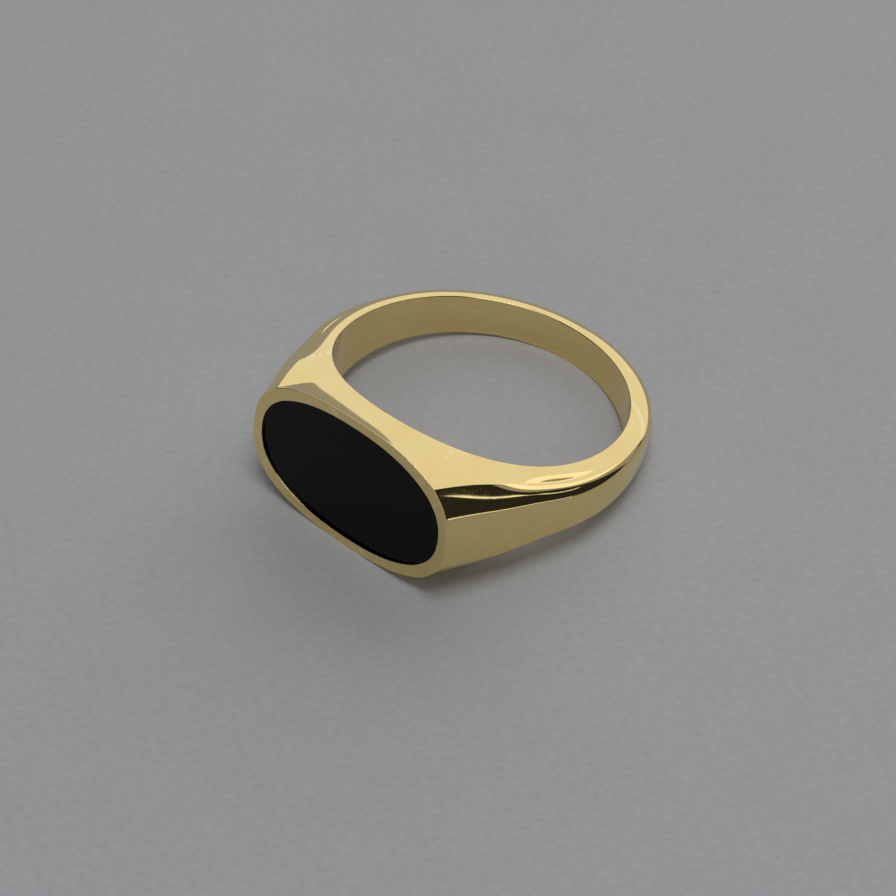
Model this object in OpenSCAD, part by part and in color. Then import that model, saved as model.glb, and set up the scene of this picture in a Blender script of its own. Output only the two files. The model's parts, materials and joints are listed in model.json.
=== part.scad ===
// Oval signet ring with a flat black tablet let into its head.
// The ring is shaped with the finger axis upright and the head towards +X, and then laid on its
// side, where it rests on the lower edge of the head and the lower edge of the back.

/* [Finger hole] */
// Inside diameter of the ring
bore_d = 18.5; // [15:0.1:22.5]

/* [Head] */
// Thickness of the metal from the finger hole to the rim, in the middle of the head
head_thick = 2.6; // [2.1:0.05:3.6]
// Width of the gold rim along the sides of the tablet
rim_side = 0.6; // [0.4:0.05:1]
// Width of the gold rim at the ends of the tablet
rim_end = 0.7; // [0.5:0.05:1.2]
// Distance from the ends of the rim back to the corners where the side faces leave it
corner_inset = 1.5; // [1.2:0.05:2.4]
// How far each side of the head flares out from the finger hole to the rim
head_flare = 0.6; // [0.2:0.05:0.8]

/* [Band] */
// Width of the band at the back, at the finger hole
back_width = 2.55; // [2:0.05:4]
// Thickness of the band at the back, on its crown
back_thick = 1.45; // [1.1:0.05:2]
// Thickness of the band's flat side faces at the back
back_edge = 0.73; // [0.5:0.01:1]
// How much half the width grows from the back to the head in an even taper
side_taper = 0.85; // [0.4:0.05:1.2]

/* [Shoulders] */
// Thickness of the metal on the crown of the shoulders
shoulder_thick = 2.05; // [1.5:0.05:2.6]
// Thickness of the flat side faces at the shoulders
shoulder_edge = 1.08; // [0.8:0.01:1.4]
// How far the crown of the shoulders swells past a straight line from the rim to the band
shoulder_swell = 0.14; // [0:0.01:0.3]

/* [Tablet] */
// Length of the black tablet
tablet_length = 14.0; // [11:0.1:17]
// Width of the black tablet
tablet_width = 8.0; // [6:0.1:10]
// Thickness of the black tablet
tablet_thick = 0.7; // [0.5:0.05:0.85]
// Depth of the tablet's face below the rim
tablet_recess = 0.12; // [0.05:0.01:0.25]
// Gap between the tablet and the wall of its seat
tablet_gap = 0.03; // [0.02:0.01:0.06]
// Thickness of the adhesive under the tablet
adhesive_thick = 0.08; // [0.05:0.01:0.15]

/* [Hidden] */

// The side faces step in by this much from the finger hole to the outer edge at the back
back_step = 0.12;

bore_r = bore_d / 2;
head_reach = bore_r + head_thick;
head_length = tablet_length + 2 * rim_end;
head_width = tablet_width + 2 * rim_side;
corner_y = head_length / 2 - corner_inset;
waist_start = back_width / 2;
waist_end = head_width / 2 - head_flare;
edge_start = back_width / 2 - back_step;
seat_floor = head_reach - tablet_recess - tablet_thick - adhesive_thick;

// How late the finger hole's edge widens on the way round from the back, and the angle over which
// the shoulders' edge narrows behind the corners
waist_power = 4.5;
shoulder_span = 26;
// How hollow the side faces are
flare_power = 1.5;
// How boxy the outer crown is at the corners and on the band, and the angle between the two
crown_powers = [2.6, 6];
crown_span = 30;
// The swell of the shoulders ends at this angle from the head
swell_end = 63;
// The flat side faces and the crown thin down between these two angles from the head
thinning = [60, 110];

// The oval outlines of the rim and of the tablet are superellipses of these powers
rim_power = 2.6;
tablet_power = 2.3;
oval_points = 96;

// Stations round half the ring: along the head to its corners, on to the ends of the rim, and
// round the rest
head_stations = 12;
corner_stations = 6;
band_stations = 40;
side_steps = 4;
// Steps over the crown from its edge to the place where the rim can cut it, and from there on
crown_steps = 6;
middle_steps = 3;
// The shaped blank reaches this far into the finger hole before the hole is cut
trim = 0.5;
// Cuts run past open faces by this much
over = 1;

corner_angle = atan2(corner_y, head_reach);
rim_end_angle = atan2(head_length / 2, head_reach);

// The ring lies on the lower edge of its head and, at the back, on the edge of the finger hole
tilt = atan((head_width / 2 - waist_start) / (head_reach + bore_r));
lift = waist_start * cos(tilt) + bore_r * sin(tilt);
front_reach = head_reach * cos(tilt) + head_width / 2 * sin(tilt);
back_reach = (bore_r + back_thick) * cos(tilt);

// 0 at the back of the ring and 1 in the middle of the head
function forward(a) = (1 + cos(a)) / 2;
function smooth_step(x) = let (k = max(0, min(1, x))) k * k * (3 - 2 * k);

// Half the width of the oval rim at a distance y from its middle
function rim_oval(y) = head_width / 2
    * pow(max(0, 1 - pow(abs(y) / (head_length / 2), rim_power)), 1 / rim_power);

// Half the width at the finger hole, and at the outer edge of the side faces on the rest of the
// ring, at an angle from the head; the edge meets the rim's oval at the corners
function waist_half(a) = let (s = forward(a)) waist_start + side_taper * s
    + (waist_end - waist_start - side_taper) * pow(s, waist_power);
function shoulder_half(a) = let (k = (a - corner_angle) / shoulder_span) edge_start
    + side_taper * forward(a)
    + (rim_oval(corner_y) - edge_start - side_taper * forward(corner_angle)) * exp(-k * k);
function rim_half(a) = a < corner_angle ? rim_oval(head_reach * tan(a)) : shoulder_half(a);

// Distance from the axis to a straight shoulder through (x, y) that runs on into an arc
function shoulder_line(a, x, y, r) = let (turn = atan2(y, x) + acos(r / norm([x, y])))
    a < turn ? r / cos(turn - a) : r;
function thinning_share(a) = smooth_step((a - thinning[0]) / (thinning[1] - thinning[0]));
function table_r(a) = a < 89 ? head_reach / cos(a) : bore_r * 60;
function edge_line(a) = let (front = bore_r + shoulder_edge)
    shoulder_line(a, head_reach, corner_y, front)
    - (shoulder_edge - back_edge) * thinning_share(a);
function crown_line(a) = let (front = bore_r + shoulder_thick,
        k = (a - rim_end_angle) / (swell_end - rim_end_angle))
    shoulder_line(a, head_reach, head_length / 2, front)
    - (shoulder_thick - back_thick) * thinning_share(a)
    + (k > 0 && k < 1 ? shoulder_swell * pow(sin(180 * k), 2) : 0);

// The outer edge of the side face, which lies in the rim's plane all along the head
function edge_r(a) = min(edge_line(a), table_r(a));
function side_half(a, r) = let (k = max(0, (r - bore_r) / (edge_r(a) - bore_r)))
    waist_half(a) + (rim_half(a) - waist_half(a)) * pow(k, flare_power);

// The crown bulges from the outer edges, and the rim's plane cuts it off; f is 1 at the edge
function crown_power(a) = crown_powers[0]
    + (crown_powers[1] - crown_powers[0]) * smooth_step((a - corner_angle) / crown_span);
function bulge_r(a, f) = edge_line(a)
    + (crown_line(a) - edge_line(a)) * (1 - pow(f, crown_power(a)));
function outer_r(a, f) = min(bulge_r(a, f), table_r(a));
function rim_share(a) = let (k = 1 - (table_r(a) - edge_line(a)) / (crown_line(a) - edge_line(a)))
    k <= 0 ? 0.1 : k >= 1 ? 0.9 : max(0.1, min(0.9, pow(k, 1 / crown_power(a))));

// Radius and height of the points on the upper half of a cross-section
function upper_section(a) = let (reach = edge_r(a) - bore_r, split = rim_share(a)) [
    [bore_r - trim, waist_half(a)],
    for (i = [1 : side_steps - 1]) let (r = bore_r + reach * i / side_steps) [r, side_half(a, r)],
    for (i = [0 : crown_steps - 1]) let (f = 1 - (1 - split) * pow(i / crown_steps, 1.5))
        [outer_r(a, f), f * rim_half(a)],
    for (i = [0 : middle_steps]) let (f = split * (1 - i / middle_steps))
        [outer_r(a, f), f * rim_half(a)]
];
function whole_section(a) = let (upper = upper_section(a), n = len(upper)) [
    each upper,
    for (i = [n - 2 : -1 : 0]) [upper[i][0], -upper[i][1]]
];

// Angles that split the span from start to end into steps, without the end
function split_span(start, end, steps) = [for (i = [0 : steps - 1]) start + (end - start) * i / steps];

module blank() {
    half_turns = [
        each split_span(0, corner_angle, head_stations),
        each split_span(corner_angle, rim_end_angle, corner_stations),
        each split_span(rim_end_angle, 180, band_stations)
    ];
    turns = [each half_turns, 180, for (i = [len(half_turns) - 1 : -1 : 1]) 360 - half_turns[i]];
    stations = len(turns);
    sections = [for (t = turns) whole_section(min(t, 360 - t))];
    n = len(sections[0]);
    polyhedron(
        points = [for (i = [0 : stations - 1]) for (p = sections[i])
            [p[0] * cos(turns[i]), p[0] * sin(turns[i]), p[1]]],
        faces = [for (i = [0 : stations - 1]) for (j = [0 : n - 1])
            let (here = i * n, next = (i + 1) % stations * n, j2 = (j + 1) % n)
            each [[here + j, here + j2, next + j], [here + j2, next + j2, next + j]]]
    );
}

// An oval prism that stands on the plane x = from and reaches out along X
module oval_prism(length, width, from, height) {
    outline = [for (i = [0 : oval_points - 1]) let (t = 360 * i / oval_points)
        [-sign(sin(t)) * pow(abs(sin(t)), 2 / tablet_power) * width / 2,
          sign(cos(t)) * pow(abs(cos(t)), 2 / tablet_power) * length / 2]];
    translate([from, 0, 0]) rotate([0, 90, 0]) linear_extrude(height) polygon(outline);
}

// Lays the upright ring on its side, centred on the origin
module lay_down()
    translate([(back_reach - front_reach) / 2, 0, lift]) rotate([0, -tilt, 0]) children();

module ring_body() {
    color("goldenrod") lay_down() difference() {
        blank();
        cylinder(d = bore_d, h = 2 * head_width, center = true, $fn = 180);
        oval_prism(tablet_length + 2 * tablet_gap, tablet_width + 2 * tablet_gap,
            seat_floor, head_thick + over);
    }
}

module onyx_tablet() {
    color("black") lay_down()
        oval_prism(tablet_length, tablet_width, seat_floor + adhesive_thick, tablet_thick);
}

module adhesive_bed() {
    color("dimgray") lay_down()
        oval_prism(tablet_length, tablet_width, seat_floor, adhesive_thick);
}

ring_body();
onyx_tablet();
adhesive_bed();
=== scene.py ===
import bmesh
import bpy
import json
import math
from mathutils import Matrix, Vector


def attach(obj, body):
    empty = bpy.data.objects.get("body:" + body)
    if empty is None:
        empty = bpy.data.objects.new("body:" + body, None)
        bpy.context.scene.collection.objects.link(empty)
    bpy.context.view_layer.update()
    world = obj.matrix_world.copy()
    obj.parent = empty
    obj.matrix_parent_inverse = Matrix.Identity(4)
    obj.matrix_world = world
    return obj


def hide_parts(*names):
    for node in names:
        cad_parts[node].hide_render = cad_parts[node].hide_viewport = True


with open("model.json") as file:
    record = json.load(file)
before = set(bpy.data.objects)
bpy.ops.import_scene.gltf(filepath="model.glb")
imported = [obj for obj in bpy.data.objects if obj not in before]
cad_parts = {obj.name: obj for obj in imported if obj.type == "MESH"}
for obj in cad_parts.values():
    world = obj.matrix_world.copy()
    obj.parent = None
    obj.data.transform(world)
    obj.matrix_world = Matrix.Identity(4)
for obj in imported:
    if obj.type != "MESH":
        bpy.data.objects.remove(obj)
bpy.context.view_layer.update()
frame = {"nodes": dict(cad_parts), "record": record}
mm = 0.001  # pieces are shaped in millimetres, upright, with the finger axis up and the head towards +X

mounts = {mount["name"]: mount for mount in frame["record"]["mounts"]}
holeRadius = mounts["finger_hole"]["dims"]["r_mm"]
holeCentre = Vector(mounts["finger_hole"]["pos_m"])
fingerAxis = Vector(mounts["finger_hole"]["axis"]).normalized()
rimNormal = Vector(mounts["rim_face"]["axis"]).normalized()
rimReach = (Vector(mounts["rim_face"]["pos_m"]) - holeCentre).dot(rimNormal) / mm
layDown = Matrix.Translation(holeCentre) @ Matrix((rimNormal, (0, 1, 0), fingerAxis)).transposed().to_4x4()
print("CAD frame loaded")


def smoothStep(x):
    x = min(1, max(0, x))
    return x * x * (3 - 2 * x)


def openMesh(piece):
    bpy.ops.object.select_all(action="DESELECT")
    bpy.context.view_layer.objects.active = piece
    piece.select_set(True)
    bpy.ops.object.mode_set(mode="EDIT")
    bpy.ops.mesh.select_mode(type="VERT")
    bpy.ops.mesh.select_all(action="DESELECT")
    return bmesh.from_edit_mesh(piece.data)


def closeMesh(piece, name):
    bpy.ops.object.mode_set(mode="OBJECT")
    piece.name = piece.data.name = name
    piece.matrix_world = layDown @ Matrix.Scale(mm, 4)
    bpy.ops.object.transform_apply(location=True, rotation=True, scale=True)
    bpy.ops.object.shade_smooth()


def ovalSpot(turn, oval):
    c, s = math.cos(turn), math.sin(turn)
    return Vector((oval["reach"], math.copysign(abs(c) ** (2 / oval["power"]), c) * oval["length"] / 2,
                   math.copysign(abs(s) ** (2 / oval["power"]), s) * oval["width"] / 2))


def ovalTurn(spot, oval):  # the turn at which this oval passes in the direction of a spot
    y, z = abs(spot.y) * 2 / oval["length"], abs(spot.z) * 2 / oval["width"]
    turn = math.atan2(z ** (oval["power"] / 2), y ** (oval["power"] / 2))
    turn = math.pi - turn if spot.y < 0 else turn
    return -turn if spot.z < 0 else turn


tablet = {
    "length": 14.0,
    "width": 8.0,
    "power": 2.3,            # 2 is an ellipse, more is squarer
    "thick": 0.7,
    "recess": 0.12,          # how far the stone lies under the rim
    "gap": 0.03,
    "adhesive": 0.08,
    "edgeEase": 0.05,
    "outlinePoints": 256,
}

ring = {
    "headWidth": 9.2,        # oval rim, along the finger
    "headLength": 15.4,      # oval rim, across the finger
    "rimPower": 2.6,
    "cornerY": 6.2,          # where the side faces leave the rim
    "waistHead": 4.0,        # half width at the finger hole, under the head
    "waistBack": 1.275,      # and at the back
    "edgeBack": 1.155,       # half width at the outer edges, at the back
    "sideTaper": 0.85,
    "waistPower": 4.5,
    "shoulderSpan": 26,      # the outer edges narrow over this angle behind the corners
    "flarePower": 1.9,      # hollow of the side faces
    "crownPowers": (2.6, 6),  # fullness of the outer crown, at the corners and on the band
    "crownSpan": 30,         # angle between the two
    "swell": 0.14,           # the crown of the shoulders swells by this much
    "swellEnd": 63,
    "shoulderThick": 2.05,
    "shoulderEdge": 1.08,
    "backThick": 1.45,
    "backEdge": 0.73,
    "thinFrom": 60,          # the band thins down between these two angles from the head
    "thinTo": 110,
    "rimFanEnd": 80,         # cage lines that follow the rim's end straighten out by this angle
    "holeEase": 0.12,        # how far the softening of each edge reaches
    "ridgeEase": 0.08,
    "rimEase": 0.08,
    "rimEndRoll": 0.22,      # and at the ends of the rim
    "lipEase": 0.035,
    "toeEase": 0.05,         # at the foot of the seat's wall
    "headSteps": 9,          # cage lines from the middle of the head to its corners
    "bandSteps": 30,         # and on to the back
    "crownSteps": 12,
    "crownCrowding": 1.45,   # cage lines on the crown lie closer towards the ridge
    "sideSteps": 5,
    "wallSteps": 3,
    "smoothing": 2,
}

cornerAngle = math.atan2(ring["cornerY"], rimReach)
closeAngle = cornerAngle + ring["rimEase"] / math.hypot(rimReach, ring["cornerY"])
rollAngle = closeAngle + ring["rimEndRoll"] / math.hypot(rimReach, ring["cornerY"])
seatDepth = tablet["recess"] + tablet["thick"] + tablet["adhesive"]


def forward(angle):
    return (1 + math.cos(angle)) / 2  # 1 in the middle of the head, 0 at the back


def rimHalf(y):
    share = max(0, 1 - (abs(y) * 2 / ring["headLength"]) ** ring["rimPower"])
    return ring["headWidth"] / 2 * share ** (1 / ring["rimPower"])


def waistHalf(angle):
    s = forward(angle)
    growth = ring["waistHead"] - ring["waistBack"] - ring["sideTaper"]
    return ring["waistBack"] + ring["sideTaper"] * s + growth * s ** ring["waistPower"]


def edgeHalf(angle):
    if angle <= cornerAngle:
        return rimHalf(rimReach * math.tan(angle))
    growth = rimHalf(ring["cornerY"]) - ring["edgeBack"] - ring["sideTaper"] * forward(cornerAngle)
    fade = math.exp(-((math.degrees(angle - cornerAngle) / ring["shoulderSpan"]) ** 2))
    return ring["edgeBack"] + ring["sideTaper"] * forward(angle) + growth * fade


def bandReach(angle, y, front, back):  # a straight shoulder from the rim at y that runs into a round band
    front, back = holeRadius + front, holeRadius + back
    turn = math.atan2(y, rimReach) + math.acos(front / math.hypot(rimReach, y))
    reach = front / math.cos(turn - angle) if angle < turn else front
    span = ring["thinTo"] - ring["thinFrom"]
    return reach - (front - back) * smoothStep((math.degrees(angle) - ring["thinFrom"]) / span)


def edgeReach(angle):
    return bandReach(angle, ring["cornerY"], ring["shoulderEdge"], ring["backEdge"])


def crownReach(angle):
    start, end = math.atan2(ring["headLength"] / 2, rimReach), math.radians(ring["swellEnd"])
    share = min(1, max(0, (angle - start) / (end - start)))
    line = bandReach(angle, ring["headLength"] / 2, ring["shoulderThick"], ring["backThick"])
    return line + ring["swell"] * math.sin(math.pi * share) ** 2


def crownPower(angle):
    first, last = ring["crownPowers"]
    return first + (last - first) * smoothStep(math.degrees(angle - cornerAngle) / ring["crownSpan"])


def crownSpot(angle, f):  # f is 0 on the crown and 1 at the ridge
    reach = edgeReach(angle) + (crownReach(angle) - edgeReach(angle)) * (1 - f ** crownPower(angle))
    return Vector((reach * math.cos(angle), reach * math.sin(angle), f * edgeHalf(angle)))


def sideSpot(angle, k):  # k is 0 at the finger hole and 1 at the ridge
    outer = edgeReach(angle) if angle > cornerAngle else rimReach / math.cos(angle)
    reach = holeRadius + (outer - holeRadius) * k
    half = waistHalf(angle) + (edgeHalf(angle) - waistHalf(angle)) * k ** ring["flarePower"]
    return Vector((reach * math.cos(angle), reach * math.sin(angle), half))


def rimAngle(f):  # where the rim's plane cuts the crown
    low, high = cornerAngle, math.atan2(ring["headLength"] / 2, rimReach)
    for _ in range(40):
        middle = (low + high) / 2
        low, high = (middle, high) if crownSpot(middle, f).x > rimReach else (low, middle)
    return (low + high) / 2


def crownShares(angle):  # f of the cage lines on the crown, the last but one close to the ridge
    slope = (crownSpot(angle, 1) - crownSpot(angle, 0.98)).length / 0.02
    last = 1 - ring["ridgeEase"] / slope
    steps = [i / (ring["crownSteps"] - 1) for i in range(ring["crownSteps"])]
    return [last * (1 - (1 - step) ** ring["crownCrowding"]) for step in steps] + [1]


def sectionSpots(angle):  # upper half of a section, from the crown over the ridge to the hole's wall
    if angle < cornerAngle - 1e-6:
        y = rimReach * math.tan(angle)
        spots = [Vector((rimReach, y, f * rimHalf(y))) for f in crownShares(closeAngle)]
    else:
        span = math.radians(ring["rimFanEnd"]) - cornerAngle
        fan = 1 - smoothStep((angle - cornerAngle) / span)
        shares = crownShares(max(angle, closeAngle))
        spots = [crownSpot(angle + (rimAngle(f) - cornerAngle) * fan, f) for f in shares]
    width = (sideSpot(angle, 1) - sideSpot(angle, 0)).length
    near, far = ring["holeEase"] / width, 1 - ring["ridgeEase"] / width
    for i in range(ring["sideSteps"] + 1):
        spots.append(sideSpot(angle, far + (near - far) * i / ring["sideSteps"]))
    spots.append(sideSpot(angle, 0))
    for i in range(ring["wallSteps"] + 1):
        height = (waistHalf(angle) - ring["holeEase"]) * (1 - i / ring["wallSteps"])
        spots.append(Vector((holeRadius * math.cos(angle), holeRadius * math.sin(angle), height)))
    return spots


def shapeRing():
    steps = ring["headSteps"]
    angles = [math.atan2(ring["cornerY"] * i / steps, rimReach) for i in range(steps)]
    angles.append(cornerAngle)
    angles.append(closeAngle)
    for i in range(ring["bandSteps"] + 1):
        angles.append(rollAngle + (math.pi - rollAngle) * i / ring["bandSteps"])
    sections = [sectionSpots(angle) for angle in angles]
    halfRound, halfSection = len(sections) - 1, len(sections[0]) - 1
    bpy.ops.mesh.primitive_torus_add(
        major_segments=2 * halfRound, minor_segments=2 * halfSection,
        major_radius=holeRadius + ring["backThick"] / 2, minor_radius=ring["backThick"] / 2)
    body = bpy.context.object
    mesh = openMesh(body)
    for vert in mesh.verts:
        station, row = divmod(vert.index, 2 * halfSection)
        spot = sections[min(station, 2 * halfRound - station)][min(row, 2 * halfSection - row)]
        left = -1 if station > halfRound else 1
        under = -1 if row > halfSection else 1
        vert.co = Vector((spot.x, left * spot.y, under * spot.z))
    return body, mesh


def cutSeat(body, mesh):
    for face in mesh.faces:
        face.select_set(min(vert.co.x for vert in face.verts) > rimReach - 1e-4)
    bpy.ops.mesh.delete(type="FACE")
    mesh = bmesh.from_edit_mesh(body.data)
    for edge in mesh.edges:
        edge.select_set(edge.is_boundary)

    def oval(length, width, power, depth):
        return {"length": length, "width": width, "power": power, "reach": rimReach - depth}

    seatLength, seatWidth = tablet["length"] + 2 * tablet["gap"], tablet["width"] + 2 * tablet["gap"]
    rimIn, lip, toe = 2 * ring["rimEase"], ring["lipEase"], ring["toeEase"]
    endRoll = 2 * ring["rimEndRoll"]
    loops = [
        oval(ring["headLength"], ring["headWidth"], ring["rimPower"], 0),
        oval(ring["headLength"] - endRoll, ring["headWidth"] - rimIn, ring["rimPower"], 0),
        oval(seatLength + 2 * lip, seatWidth + 2 * lip, tablet["power"], 0),
        oval(seatLength, seatWidth, tablet["power"], 0),
        oval(seatLength, seatWidth, tablet["power"], lip),
        oval(seatLength, seatWidth, tablet["power"], seatDepth - toe),
        oval(seatLength, seatWidth, tablet["power"], seatDepth),
        oval(seatLength - 2 * toe, seatWidth - 2 * toe, tablet["power"], seatDepth),
    ]
    for before, after in zip(loops, loops[1:]):
        bpy.ops.mesh.extrude_region()
        mesh = bmesh.from_edit_mesh(body.data)
        for vert in mesh.verts:
            if vert.select:
                vert.co = ovalSpot(ovalTurn(vert.co, before), after)
    bpy.ops.mesh.edge_face_add()
    bpy.ops.mesh.select_all(action="SELECT")
    bpy.ops.mesh.normals_make_consistent(inside=False)


def smoothRing(body):
    rounding = body.modifiers.new("rounding", "SUBSURF")
    rounding.levels = rounding.render_levels = ring["smoothing"]
    bpy.ops.object.modifier_apply(modifier=rounding.name)


ringBody, ringMesh = shapeRing()
cutSeat(ringBody, ringMesh)
closeMesh(ringBody, "signetRing")
smoothRing(ringBody)
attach(ringBody, "root")
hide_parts("ring_body")
print("ring body shaped")


def shapeTablet():
    bpy.ops.mesh.primitive_cylinder_add(vertices=tablet["outlinePoints"], radius=1, depth=tablet["thick"])
    stone = bpy.context.object
    mesh = openMesh(stone)
    top = rimReach - tablet["recess"]
    face = {"length": tablet["length"], "width": tablet["width"], "power": tablet["power"]}
    for vert in mesh.verts:
        face["reach"] = top if vert.co.z > 0 else top - tablet["thick"]
        vert.co = ovalSpot(math.atan2(vert.co.y, vert.co.x), face)
    for edge in mesh.edges:
        edge.select_set(min(vert.co.x for vert in edge.verts) > top - 1e-4)
    bpy.ops.mesh.bevel(offset=tablet["edgeEase"], segments=4, clamp_overlap=False)
    bpy.ops.mesh.select_all(action="SELECT")
    bpy.ops.mesh.normals_make_consistent(inside=False)
    return stone


stone = shapeTablet()
closeMesh(stone, "onyxTablet")
bpy.ops.object.shade_smooth_by_angle(angle=math.radians(40))
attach(stone, "root")
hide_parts("onyx_tablet")
print("tablet shaped")


def startFinish(name):
    material = bpy.data.materials.new(name)
    material.use_nodes = True
    tree = material.node_tree
    place = tree.nodes.new("ShaderNodeTexCoord")
    return material, tree, tree.nodes["Principled BSDF"], place.outputs["Object"]


def grain(tree, place, size, detail=2.0, stretch=1.0, turn=(0, 0, 0)):  # size in mm, stretched along X
    turned = tree.nodes.new("ShaderNodeMapping")
    turned.inputs["Rotation"].default_value = [math.radians(angle) for angle in turn]
    stretched = tree.nodes.new("ShaderNodeMapping")
    stretched.inputs["Scale"].default_value = (1 / stretch, 1, 1)
    noise = tree.nodes.new("ShaderNodeTexNoise")
    noise.inputs["Scale"].default_value = 1 / (size * mm)
    noise.inputs["Detail"].default_value = detail
    tree.links.new(place, turned.inputs["Vector"])
    tree.links.new(turned.outputs["Vector"], stretched.inputs["Vector"])
    tree.links.new(stretched.outputs["Vector"], noise.inputs["Vector"])
    return noise.outputs["Fac"]


def remap(tree, value, low, high, toLow, toHigh):
    node = tree.nodes.new("ShaderNodeMapRange")
    for socket, number in zip(("From Min", "From Max", "To Min", "To Max"), (low, high, toLow, toHigh)):
        node.inputs[socket].default_value = number
    tree.links.new(value, node.inputs["Value"])
    return node.outputs["Result"]


def combine(tree, operation, first, second):
    node = tree.nodes.new("ShaderNodeMath")
    node.operation = operation
    for socket, value in zip(node.inputs, (first, second)):
        if isinstance(value, (int, float)):
            socket.default_value = value
        else:
            tree.links.new(value, socket)
    return node.outputs["Value"]


def blendColours(tree, share, first, second):
    node = tree.nodes.new("ShaderNodeMix")
    node.data_type = "RGBA"
    tree.links.new(share, node.inputs["Factor"])
    for socket, colour in zip((node.inputs[6], node.inputs[7]), (first, second)):
        if isinstance(colour, tuple):
            socket.default_value = (*colour, 1)
        else:
            tree.links.new(colour, socket)
    return node.outputs[2]


def raiseSurface(tree, shader, height, depth, strength):  # depth in mm
    bump = tree.nodes.new("ShaderNodeBump")
    bump.inputs["Strength"].default_value = strength
    bump.inputs["Distance"].default_value = depth * mm
    tree.links.new(height, bump.inputs["Height"])
    tree.links.new(bump.outputs["Normal"], shader.inputs["Normal"])


gold = {
    "colour": (0.94, 0.745, 0.335),
    "deepColour": (0.92, 0.71, 0.30),
    # paler gold for the sharp edges: partly rubbed wear, partly a painted highlight along the edges
    "edgeColour": (0.97, 0.84, 0.48),
    "roughness": (0.028, 0.07),
    "cloudSize": 2.6,        # mm, where the polish is brighter and duller
    "hazeSize": 0.35,
    "scratchWidth": 0.05,
    "scratchStretch": 90,
    "scratchTurns": ((15, 40, 70), (80, 25, 10), (50, 75, 130)),
    "scratchShare": 0.73,    # higher leaves fewer scratches
    "scratchRoughness": 0.08,
    "scratchDepth": 0.0002,
    "rippleSize": 3.2,       # slow unevenness left by hand polishing
    "rippleDepth": 0.004,
}


def goldFinish():
    material, tree, shader, place = startFinish("polishedGold")
    shader.inputs["Metallic"].default_value = 1
    clouds = grain(tree, place, gold["cloudSize"], 3)
    haze = grain(tree, place, gold["hazeSize"], 4)
    body = blendColours(tree, remap(tree, clouds, 0.35, 0.65, 0, 1), gold["colour"], gold["deepColour"])
    # sharp convex edges (by pointiness) get paler gold: partly wear, partly a painted highlight
    edges = remap(tree, tree.nodes.new("ShaderNodeNewGeometry").outputs["Pointiness"], 0.52, 0.60, 0, 0.8)
    tree.links.new(blendColours(tree, edges, body, gold["edgeColour"]), shader.inputs["Base Color"])
    scratches = 0
    for turn in gold["scratchTurns"]:
        lines = grain(tree, place, gold["scratchWidth"], 0, gold["scratchStretch"], turn)
        lines = remap(tree, lines, gold["scratchShare"], gold["scratchShare"] + 0.08, 0, 1)
        scratches = combine(tree, "MAXIMUM", lines, scratches)
    polish = combine(tree, "MULTIPLY", combine(tree, "ADD", haze, clouds), 0.5)
    roughness = remap(tree, polish, 0.35, 0.65, *gold["roughness"])
    marks = combine(tree, "MULTIPLY", scratches, gold["scratchRoughness"])
    tree.links.new(combine(tree, "ADD", roughness, marks), shader.inputs["Roughness"])
    ripple = combine(tree, "MULTIPLY", grain(tree, place, gold["rippleSize"], 0), gold["rippleDepth"])
    cut = combine(tree, "MULTIPLY", scratches, gold["scratchDepth"])
    raiseSurface(tree, shader, combine(tree, "SUBTRACT", ripple, cut), 1, 1)
    return material


onyx = {
    "colour": (0.0005, 0.0005, 0.0006),
    "greyer": (0.0013, 0.0013, 0.0015),
    "roughness": (0.05, 0.09),
    "cloudSize": 1.8,
    "lapWidth": 0.04,
    "lapStretch": 60,
    "lapTurn": (0, 10, 90),
    "lapDepth": 0.0003,
}


def onyxFinish():
    material, tree, shader, place = startFinish("blackOnyx")
    shader.inputs["Specular IOR Level"].default_value = 0.15
    clouds = grain(tree, place, onyx["cloudSize"], 4)
    colour = blendColours(tree, remap(tree, clouds, 0.4, 0.7, 0, 1), onyx["colour"], onyx["greyer"])
    tree.links.new(colour, shader.inputs["Base Color"])
    tree.links.new(remap(tree, clouds, 0.35, 0.65, *onyx["roughness"]), shader.inputs["Roughness"])
    laps = grain(tree, place, onyx["lapWidth"], 1, onyx["lapStretch"], onyx["lapTurn"])
    laps = combine(tree, "MULTIPLY", laps, onyx["lapDepth"])
    raiseSurface(tree, shader, laps, 1, 1)
    return material


adhesive = {
    "colour": (0.012, 0.011, 0.010),
    "paler": (0.030, 0.027, 0.024),
    "roughness": (0.25, 0.45),
    "cloudSize": 0.5,
}


def adhesiveFinish():
    material, tree, shader, place = startFinish("darkEpoxy")
    clouds = grain(tree, place, adhesive["cloudSize"], 4)
    colour = blendColours(tree, remap(tree, clouds, 0.4, 0.6, 0, 1), adhesive["colour"], adhesive["paler"])
    tree.links.new(colour, shader.inputs["Base Color"])
    tree.links.new(remap(tree, clouds, 0.3, 0.7, *adhesive["roughness"]), shader.inputs["Roughness"])
    return material


paper = {
    "colour": (0.58, 0.59, 0.61),
    "paler": (0.64, 0.65, 0.67),
    "roughness": 0.85,
    "fibreSize": 0.35,       # mm
    "mottleSize": 6,
    "mottleShare": 0.2,
    "grainDepth": 0.03,
}


def paperFinish():
    material, tree, shader, place = startFinish("floorPaper")
    shader.inputs["Roughness"].default_value = paper["roughness"]
    fibres = grain(tree, place, paper["fibreSize"], 3, 1.5, (0, 0, 35))
    mottle = grain(tree, place, paper["mottleSize"], 2)
    fine = combine(tree, "MULTIPLY", fibres, 1 - paper["mottleShare"])
    tone = combine(tree, "ADD", fine, combine(tree, "MULTIPLY", mottle, paper["mottleShare"]))
    colour = blendColours(tree, remap(tree, tone, 0.35, 0.65, 0, 1), paper["colour"], paper["paler"])
    tree.links.new(colour, shader.inputs["Base Color"])
    raiseSurface(tree, shader, combine(tree, "MULTIPLY", fibres, paper["grainDepth"]), 1, 1)
    return material


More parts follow.
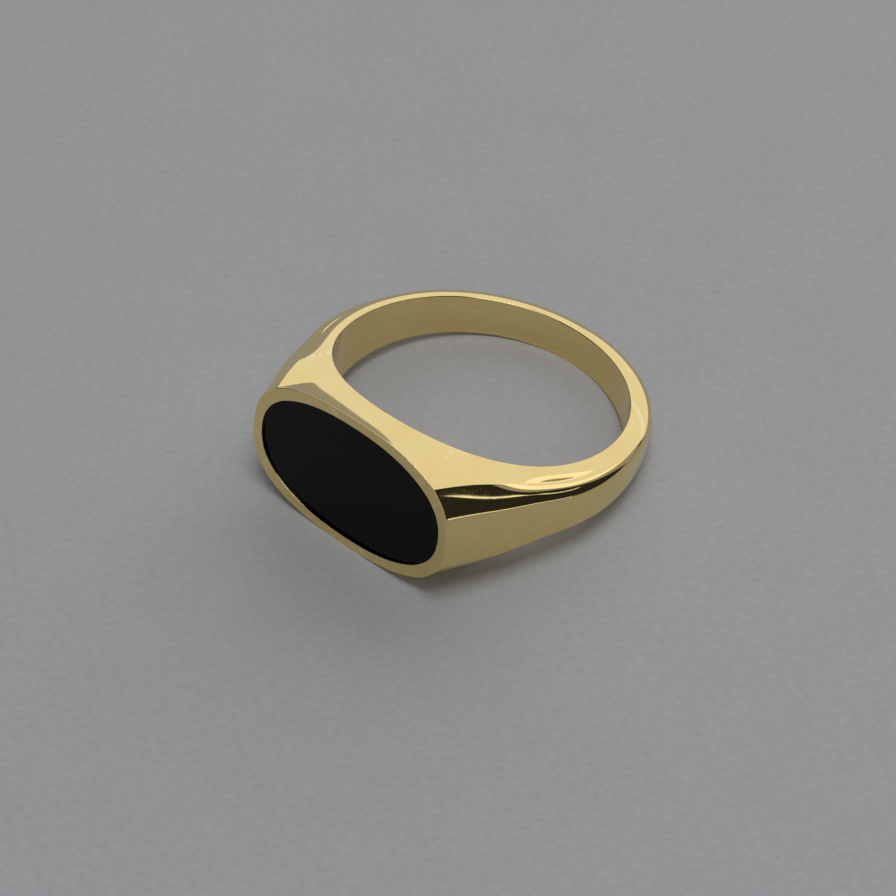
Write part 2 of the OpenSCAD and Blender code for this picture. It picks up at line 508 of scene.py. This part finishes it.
ringBody.data.materials.append(goldFinish())
stone.data.materials.append(onyxFinish())
adhesiveBed = frame["nodes"]["adhesive_bed"]
adhesiveBed.data.materials.clear()
adhesiveBed.data.materials.append(adhesiveFinish())
print("gold, onyx and epoxy finished")

bpy.ops.mesh.primitive_plane_add(size=1.6, location=(0, 0, 0))
floor = bpy.context.object
floor.name = "floor"
floor.data.materials.append(paperFinish())

view = {
    "aim": (1.729, -0.066, 0.715),   # mm
    "distance": 171.92,
    "azimuth": 40.371,
    "elevation": 44.934,
    "roll": 1.6,
    "lens": 112.49,
    "sensor": 36,
}


def direction(azimuth, elevation):
    a, e = math.radians(azimuth), math.radians(elevation)
    return Vector((math.cos(e) * math.cos(a), math.cos(e) * math.sin(a), math.sin(e)))


def addCamera():
    aim = Vector(view["aim"]) * mm
    away = direction(view["azimuth"], view["elevation"])
    bpy.ops.object.camera_add(location=aim + away * view["distance"] * mm)
    camera = bpy.context.object
    turn = away.to_track_quat("Z", "Y").to_matrix() @ Matrix.Rotation(math.radians(view["roll"]), 3, "Z")
    camera.rotation_euler = turn.to_euler()
    camera.data.lens = view["lens"]
    camera.data.sensor_width = view["sensor"]
    camera.data.clip_start = 0.001
    bpy.context.scene.camera = camera


lights = {
    "backBox": {"azimuth": 202, "elevation": 28, "distance": 0.5, "size": (0.74, 0.60), "radiance": 0.80},
    "sideFill": {"azimuth": 157, "elevation": 22, "distance": 0.52, "size": (0.12, 0.38), "radiance": 0.28},
    "frontBox": {"azimuth": 20, "elevation": 34, "distance": 0.55, "size": (0.60, 0.50), "radiance": 0.45},
    "overhead": {"azimuth": 60, "elevation": 80, "distance": 0.6, "size": (0.30, 0.30), "radiance": 3.4},
    "highStrip": {"azimuth": 124, "elevation": 36, "distance": 0.5, "size": (0.22, 0.014), "radiance": 1.1},
    "lowStrip": {"azimuth": 94, "elevation": 2, "distance": 0.5, "size": (0.26, 0.024), "radiance": 0.9},
}


def addLights():
    for name, spec in lights.items():
        away = direction(spec["azimuth"], spec["elevation"])
        bpy.ops.object.light_add(type="AREA", location=away * spec["distance"])
        light = bpy.context.object
        light.name = name
        light.data.shape = "RECTANGLE"
        light.data.size, light.data.size_y = spec["size"]
        light.data.energy = spec["radiance"] * math.pi * spec["size"][0] * spec["size"][1]
        light.rotation_euler = away.to_track_quat("Z", "Y").to_euler()
    world = bpy.data.worlds.new("studio")
    bpy.context.scene.world = world
    world.use_nodes = True
    world.node_tree.nodes["Background"].inputs["Color"].default_value = (0.5, 0.52, 0.55, 1)
    world.node_tree.nodes["Background"].inputs["Strength"].default_value = 0.04


addCamera()
addLights()
bpy.context.scene.view_settings.view_transform = "Standard"
